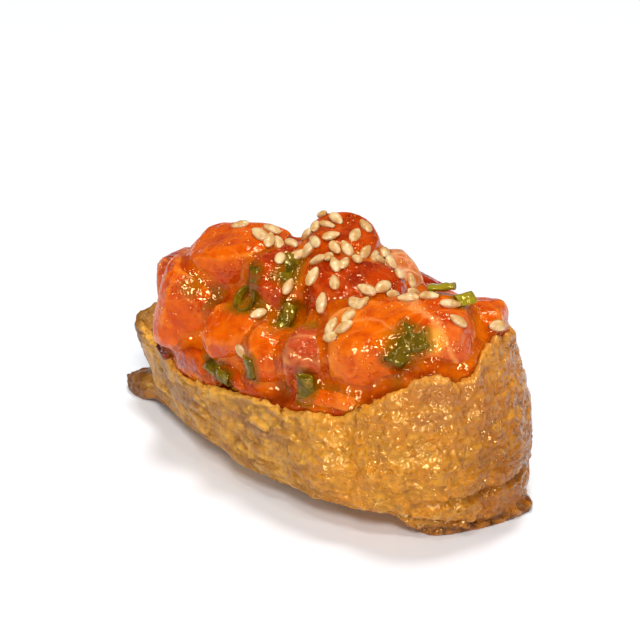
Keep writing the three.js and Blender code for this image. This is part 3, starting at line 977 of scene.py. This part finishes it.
class INARI_OT_sauce(bpy.types.Operator):
    """Fills the hollows between the dice with sauce"""

    bl_idname = "inari.sauce"
    bl_label = "Sauce"

    def execute(self, context):
        sizes = settings()
        skin = bpy.data.objects["tofu_skin"]
        wall = node_copy("tofu_pocket", "wall")
        shape = bmesh.new()
        for piece in (*toppings(), bpy.data.objects["rice_core"], wall):
            shape.from_mesh(piece.data)
        piece = link("sauce", mesh_of("sauce", shape))
        group = sauce_tree()
        rise = sizes.sauce_rise / MM
        grow_nodes(piece, group, {"Rise": rise})
        fine_mesh(piece, SAUCE_FACES[0] * MM, sizes.sauce_settling)
        grow_nodes(piece, group, {"Rise": -rise - SAUCE_DRAWN_IN})
        fine_mesh(piece, SAUCE_FACES[1] * MM, 3)
        settle(piece)
        surface = BVHTree.FromObject(wall, bpy.context.evaluated_depsgraph_get())
        for vert in piece.data.vertices:
            point, normal, _, distance = surface.find_nearest(vert.co)
            if distance < NEAR_WALL * MM:
                vert.co = point - normal * INTO_WALL * MM
        cut = piece.modifiers.new("Cut to the pocket", "BOOLEAN")
        cut.operation = "DIFFERENCE"
        cut.solver = "MANIFOLD"
        cut.object = skin
        settle(piece)
        bpy.data.objects.remove(wall)
        keep_largest(piece)
        press_hollows(piece)
        store_depth(piece)
        declare(piece, "salmon")
        return {"FINISHED"}


def nearness(place, spots):
    """1 in the middle of the nearest spot (x, y, z, radius, ...), and falling off round it."""
    away = [((place - Vector(spot[:3])).length / spot[3]) ** 2 for spot in spots]
    return math.exp(-min(away))


def press_hollows(sauce):
    """Lets the sauce sink in the hollows, and stores where the hollows and the pools are."""
    normals = [v.normal.copy() for v in sauce.data.vertices]
    for piece in toppings():
        places = [v.co / MM for v in piece.data.vertices]
        for name, spots in (("hollow", HOLLOWS), ("pool", POOLS)):
            store(piece.data, name, [nearness(place, spots) for place in places])
    for vert, normal in zip(sauce.data.vertices, normals):
        for *spot, radius, depth in HOLLOWS:
            near = nearness(vert.co / MM, [(*spot, radius)])
            if near > 0.01:
                vert.co -= normal * depth * near * MM


def keep_largest(piece):
    """Removes every loose bit of a piece but the largest."""
    shape = bmesh.new()
    shape.from_mesh(piece.data)
    unseen, largest = set(shape.verts), set()
    while unseen:
        start = unseen.pop()
        found, queue = {start}, [start]
        while queue:
            for edge in queue.pop().link_edges:
                for vert in edge.verts:
                    if vert in unseen:
                        unseen.discard(vert)
                        found.add(vert)
                        queue.append(vert)
        if len(found) > len(largest):
            largest = found
    bmesh.ops.delete(shape, geom=[v for v in shape.verts if v not in largest], context="VERTS")
    shape.to_mesh(piece.data)
    shape.free()
    piece.data.shade_smooth()


def store_depth(piece):
    """Stores how deep the sauce lies over the salmon."""
    surface = surface_of([other for other in toppings() if other is not piece])
    store(piece.data, "depth", [surface.find_nearest(v.co)[3] / MM for v in piece.data.vertices])


# ---- Bubbles ----
BUBBLE_SPACING = 0.45  # least distance between two bubbles


def bubble_material():
    made, tree, shader, place = material("Chilli oil drops")
    # Pale orange: the drops' oily colour, lightened as a painted glint.
    oil_and_glint = tree.blend(tree.ramp(tree.noise(place, 1.5, 2), 0.35, 0.65), colour("F08420"), colour("FFBC68"))
    wire(
        tree,
        shader,
        Base_Color=oil_and_glint,
        Roughness=0.06,
        Specular_IOR_Level=0.6,
    )
    return made


def bubble_tree(drop):
    """Small drops in patches on the upper side of the topping."""
    group, tree, source = geometry_tree("Bubbles", {"Per square centimetre": 26.0})
    place = tree.place()
    up = tree.split(tree.normal())[2]
    patches = tree.ramp(tree.noise(place, 5, 2), 0.45, 0.62)
    above = tree.product(tree.ramp(up, -0.3, 0.2), tree.ramp(tree.split(place)[2], 15, 20))
    density = tree.product(source["Per square centimetre"], 1.0e4)
    share = tree.product(patches, above)
    spread = tree.scattered(source["Geometry"], BUBBLE_SPACING * MM, density, share, 11)
    size = tree.node("FunctionNodeRandomValue", {2: 0.07, 3: 0.2, "Seed": 3}).outputs[1]
    finish_tree(tree, tree.copies(spread["Points"], drop, Scale=size), bubble_material())
    return group


class INARI_OT_bubbles(bpy.types.Operator):
    """Scatters small bubbles over the salmon and the sauce"""

    bl_idname = "inari.bubbles"
    bl_label = "Bubbles"

    def execute(self, context):
        shape = bmesh.new()
        bmesh.ops.create_uvsphere(shape, u_segments=8, v_segments=5, radius=1.0 * MM)
        drop = link("bubble", mesh_of("bubble", shape))
        carrier = bmesh.new()
        for piece in toppings():
            carrier.from_mesh(piece.data)
        bubbles = link("bubbles", mesh_of("bubbles", carrier))
        count = float(settings().bubble_count)
        grow_nodes(bubbles, bubble_tree(drop), {"Per square centimetre": count})
        settle(bubbles)
        bpy.data.objects.remove(drop)
        declare(bubbles, "salmon")
        return {"FINISHED"}


# ---- Chives ----
def chive_material():
    made, tree, shader, place = material("Chive")
    shades = tree.ramp(tree.noise(place, 2.2, 3), 0.35, 0.65)
    leaf = tree.blend(shades, colour("4A3A02"), settings().chive_colour)
    leaf = tree.blend(tree.ramp(tree.noise(place, 2.6, 2), 0.52, 0.68, 0.0, 0.6), leaf, colour("98701C"))
    x, y, _ = tree.split(place)
    leaf = tree.blend(tree.ramp(x, 20, 24, 0.0, 0.6), leaf, colour("5E4604"))
    far = tree.product(tree.ramp(y, -5, -3), tree.ramp(y, 2, 5, 1.0, 0.0))
    leaf = tree.blend(tree.product(far, 0.8), leaf, colour("A8961E"))
    film, rough = wet(tree, place, 1.0, 1.0)
    wire(
        tree,
        shader,
        Base_Color=leaf,
        Roughness=rough,
        Normal=bump(tree, film, 0.25),
        Specular_IOR_Level=0.5,
        Specular_Tint=(1.0, 0.78, 0.28, 1.0),
        **soft(0.15, (1.0, 0.9, 0.1), 0.6),
    )
    return made


def add_chive(shape, length, width, tip, frame_matrix):
    """Adds one cut piece of chive, an oval tube, to a bmesh."""
    around, along, wall = 20, 7, 0.35
    squash = 0.42 if tip < 45 else 0.9  # a piece that stands on its end stays nearly round
    rings = []
    for inner in (False, True):
        for step in range(along):
            share = step / (along - 1) - 0.5
            if inner:
                share = -share
            ring = []
            for k in range(around):
                angle = 2 * math.pi * k / around
                reach = width / 2 - (wall if inner else 0.0)
                flat = squash + 0.08 * math.sin(3 * share * length)
                bend = 0.04 * (share * length) ** 2
                side, up = reach * math.cos(angle) + bend, reach * flat * math.sin(angle)
                spot = Vector((share * length, side, up))
                ring.append(shape.verts.new(frame_matrix @ (spot * MM)))
            rings.append(ring)
    for a, b in zip(rings, rings[1:] + rings[:1]):
        for k in range(around):
            shape.faces.new((a[k], b[k], b[(k + 1) % around], a[(k + 1) % around]))


def resting_place(surface, spot, turn, sink):
    """A matrix at the surface nearest to spot, its Z outwards and its X turned about it."""
    point, normal, _, _ = surface.find_nearest(Vector(spot) * MM)
    if point is None:
        raise RuntimeError("nothing to lay a topping on near " + str(spot))
    steps = [Vector(step) * 1.2 * MM for step in ((1, 0, 0), (-1, 0, 0), (0, 1, 0), (0, -1, 0))]
    near = [surface.find_nearest(point + step)[1] for step in steps]
    outward = sum(near, normal * 2).normalized()
    level = Vector((math.cos(math.radians(turn)), math.sin(math.radians(turn)), 0))
    if abs(level.dot(outward)) > 0.95:
        level = Vector((0, 0, 1))
    along = (level - outward * level.dot(outward)).normalized()
    across = outward.cross(along)
    turned = Matrix((along, across, outward)).transposed().to_4x4()
    return Matrix.Translation(point - outward * sink * MM) @ turned


class INARI_OT_chives(bpy.types.Operator):
    """Lays pieces of chive in the sauce"""

    bl_idname = "inari.chives"
    bl_label = "Chives"

    def execute(self, context):
        surface = surface_of(toppings())
        shape = bmesh.new()
        for x, y, z, length, width, turn, tip, sunk in CHIVES:
            place = resting_place(surface, (x, y, z), turn, sunk * width)
            add_chive(shape, length, width, tip, place @ Matrix.Rotation(math.radians(-tip), 4, "Y"))
        bmesh.ops.recalc_face_normals(shape, faces=shape.faces)
        mesh = mesh_of("chives", shape)
        mesh.shade_smooth()
        mesh.materials.append(chive_material())
        chives = link("chives", mesh)
        declare(chives, "salmon")
        mark_green(chives)
        return {"FINISHED"}


def mark_green(chives):
    """Stores on the salmon and the sauce how near each point is to a chive."""
    surface = surface_of([chives])
    reach, falloff = 4 * MM, 1.1 * MM
    for piece in toppings():
        near = []
        for vert in piece.data.vertices:
            distance = surface.find_nearest(vert.co, reach)[3]
            near.append(0.0 if distance is None else math.exp(-((distance / falloff) ** 2)))
        store(piece.data, "green", near)


# ---- Sesame ----
def sesame_material():
    made, tree, shader, place = material("Hulled sesame")
    tip = attribute(tree, "tip")
    shades = tree.ramp(tree.noise(place, 1.6, 3), 0.35, 0.65)
    hull = tree.blend(shades, colour("D29E58"), settings().seed_colour)
    hull = tree.blend(tree.ramp(tip, 0.86, 0.97), hull, colour("6E431C"))
    # Darker tan at each seed's rim: partly the hull's own rim, partly painted shade on the sides.
    hull = tree.blend(tree.ramp(attribute(tree, "edge"), 0.45, 0.95, 0.0, 0.45), hull, colour("B07C3A"))
    film, rough = wet(tree, place, 1.2, 0.6)
    wire(
        tree,
        shader,
        Base_Color=hull,
        Roughness=rough,
        Normal=bump(tree, film, 0.12),
        **soft(0.25, (1.0, 0.7, 0.4), 0.8),
    )
    return made


def seed_shape(length):
    """One sesame seed, a flat drop lying along X with its point at +X."""
    shape = bmesh.new()
    bmesh.ops.create_uvsphere(shape, u_segments=16, v_segments=12, radius=1.0)
    tips, edges = [], []
    for vert in shape.verts:
        along, side, up = vert.co.z, vert.co.x, vert.co.y
        girth = 0.56 * (1 - 0.42 * max(along, 0) ** 1.6) * (1 - 0.08 * along)
        thick = 0.4 * (1 - 0.3 * max(along, 0))
        vert.co = Vector((along, side * girth, up * thick)) * length / 2
        tips.append(along)
        edges.append(abs(side) if abs(up) < 0.5 else 0.0)
    mesh = mesh_of("seed", shape)
    store(mesh, "tip", tips)
    store(mesh, "edge", edges)
    return link("seed", mesh)


def seed_tree(seed):
    """A seed on every point, turned as the point's attribute says."""
    group, tree, source = geometry_tree("Sesame seeds", {"Smallest": 0.86, "Largest": 1.1})
    turn = tree.node("GeometryNodeInputNamedAttribute", {"Name": "turn"}, data_type="FLOAT_VECTOR")
    facing = tree.first("FunctionNodeEulerToRotation", {0: turn.outputs["Attribute"]})
    inputs = {2: source["Smallest"], 3: source["Largest"], "Seed": 5}
    size = tree.node("FunctionNodeRandomValue", inputs).outputs[1]
    points = tree.first("GeometryNodeMeshToPoints", {0: source["Geometry"]})
    finish_tree(tree, tree.copies(points, seed, Rotation=facing, Scale=size), sesame_material())
    return group


class INARI_OT_sesame(bpy.types.Operator):
    """Sprinkles the sesame seeds"""

    bl_idname = "inari.sesame"
    bl_label = "Sesame seeds"

    def execute(self, context):
        surface = surface_of(toppings())
        rng = np.random.default_rng(3)
        spots, turns = [], []
        for group in SEEDS.values():
            for x, y, z, turn in group:
                tip_way = 180 if rng.random() < 0.5 else 0
                place = resting_place(surface, (x, y, z), turn + tip_way, -0.25)
                roll, pitch = rng.uniform(-0.3, 0.3), rng.uniform(-0.2, 0.2)
                lean = Matrix.Rotation(roll, 4, "X") @ Matrix.Rotation(pitch, 4, "Y")
                spots.append(place.translation)
                turns.append((place @ lean).to_euler())
        mesh = bpy.data.meshes.new("sesame_seeds")
        mesh.from_pydata(spots, [], [])
        layer = mesh.attributes.new("turn", "FLOAT_VECTOR", "POINT")
        layer.data.foreach_set("vector", np.array(turns, dtype=np.float32).ravel())
        seed = seed_shape(settings().seed_length)
        seeds = link("sesame_seeds", mesh)
        grow_nodes(seeds, seed_tree(seed), {})
        settle(seeds)
        bpy.data.objects.remove(seed)
        declare(seeds, "rice")
        return {"FINISHED"}


# ---- Stage ----
# Each lamp: its name, the way to it from the sushi as turn about Z and height in degrees, its half
# width as seen from there in degrees, its brightness, and whether it lights things or only shines
# in them.
LAMPS = (
    ("Front lamp", -52, 42, 6.0, 42, True),
    ("High lamp", -64, 64, 4.0, 34, True),
    ("Right lamp", -24, 54, 2.6, 42, True),
    ("Left lamp", -110, 38, 3.0, 26, True),
    ("Top lamp", 110, 80, 7.0, 31, True),
    ("Low lamp", -44, 8, 7.0, 56, False),
    ("Low left lamp", -80, 9, 7.0, 50, False),
)
LAMP_DISTANCE = 4.0
FLOOR_HALF = 1.6
FLOOR_GLOW = 0.03
ROOM_LIGHT = 0.12  # how strongly the world lights things; the camera sees it white
CAMERA_LENS = 114.75
CAMERA_PLACE = (179.68, -245.09, 159.62)
CAMERA_WAY = (-0.535, 0.742, -0.404)


def area_light(name, turn, height, half_width, brightness, lights_things):
    light = bpy.data.lights.new(name, "AREA")
    light.shape = "DISK"
    light.size = 2 * LAMP_DISTANCE * math.tan(math.radians(half_width))
    disk = math.pi * (light.size / 2) ** 2
    light.energy = brightness * math.pi * disk
    lamp = bpy.data.objects.new(name, light)
    bpy.context.scene.collection.objects.link(lamp)
    flat = math.cos(math.radians(height))
    turned = math.radians(turn)
    way = Vector((math.cos(turned) * flat, math.sin(turned) * flat, math.sin(math.radians(height))))
    lamp.location = way * LAMP_DISTANCE
    lamp.rotation_euler = way.to_track_quat("Z", "Y").to_euler()
    lamp.visible_diffuse = lights_things


class INARI_OT_stage(bpy.types.Operator):
    """Sets a pale floor, soft lights and the camera"""

    bl_idname = "inari.stage"
    bl_label = "Stage"

    def execute(self, context):
        scene = context.scene
        shape = bmesh.new()
        bmesh.ops.create_grid(shape, x_segments=2, y_segments=2, size=FLOOR_HALF)
        floor = link("floor", mesh_of("floor", shape))
        paint, tree, shader, _ = material("Pale floor")
        wire(tree, shader, Base_Color=(0.91, 0.93, 0.96, 1), Roughness=0.8)
        wire(tree, shader, Emission_Color=(1, 1, 1, 1), Emission_Strength=FLOOR_GLOW)
        floor.data.materials.append(paint)

        world = bpy.data.worlds.new("Soft room")
        world.use_nodes = True
        sky = Tree(world.node_tree)
        seen = sky.node("ShaderNodeLightPath").outputs["Is Camera Ray"]
        strength = sky.math("MAXIMUM", seen, ROOM_LIGHT)
        background = world.node_tree.nodes["Background"]
        fill(world.node_tree, background, {"Color": (1, 1, 1, 1), "Strength": strength})
        scene.world = world
        for lamp in LAMPS:
            area_light(*lamp)

        lens = bpy.data.cameras.new("Camera")
        lens.sensor_width = 36
        lens.lens = CAMERA_LENS
        camera = bpy.data.objects.new("Camera", lens)
        scene.collection.objects.link(camera)
        camera.location = Vector(CAMERA_PLACE) * MM
        camera.rotation_euler = Vector(CAMERA_WAY).to_track_quat("-Z", "Y").to_euler()
        scene.camera = camera
        scene.view_settings.view_transform = "Standard"
        return {"FINISHED"}


# ---- Add-on ----
class INARI_PT_panel(bpy.types.Panel):
    bl_label = "Inari sushi"
    bl_idname = "INARI_PT_panel"
    bl_space_type = "VIEW_3D"
    bl_region_type = "UI"
    bl_category = "Inari"

    def draw(self, context):
        for name in InariSettings.__annotations__:
            self.layout.prop(context.scene.inari_settings, name)
        for step in STEPS:
            self.layout.operator(step.bl_idname)


STEPS = (
    INARI_OT_stage,
    INARI_OT_pocket,
    INARI_OT_rice,
    INARI_OT_salmon,
    INARI_OT_sauce,
    INARI_OT_bubbles,
    INARI_OT_chives,
    INARI_OT_sesame,
)


def register():
    for item in (InariSettings, *STEPS, INARI_PT_panel):
        bpy.utils.register_class(item)
    bpy.types.Scene.inari_settings = bpy.props.PointerProperty(type=InariSettings)


def unregister():
    del bpy.types.Scene.inari_settings
    for item in (INARI_PT_panel, *reversed(STEPS), InariSettings):
        bpy.utils.unregister_class(item)


def main():
    register()
    for step in STEPS:
        group, name = step.bl_idname.split(".")
        getattr(getattr(bpy.ops, group), name)()


if __name__ == "__main__":
    main()
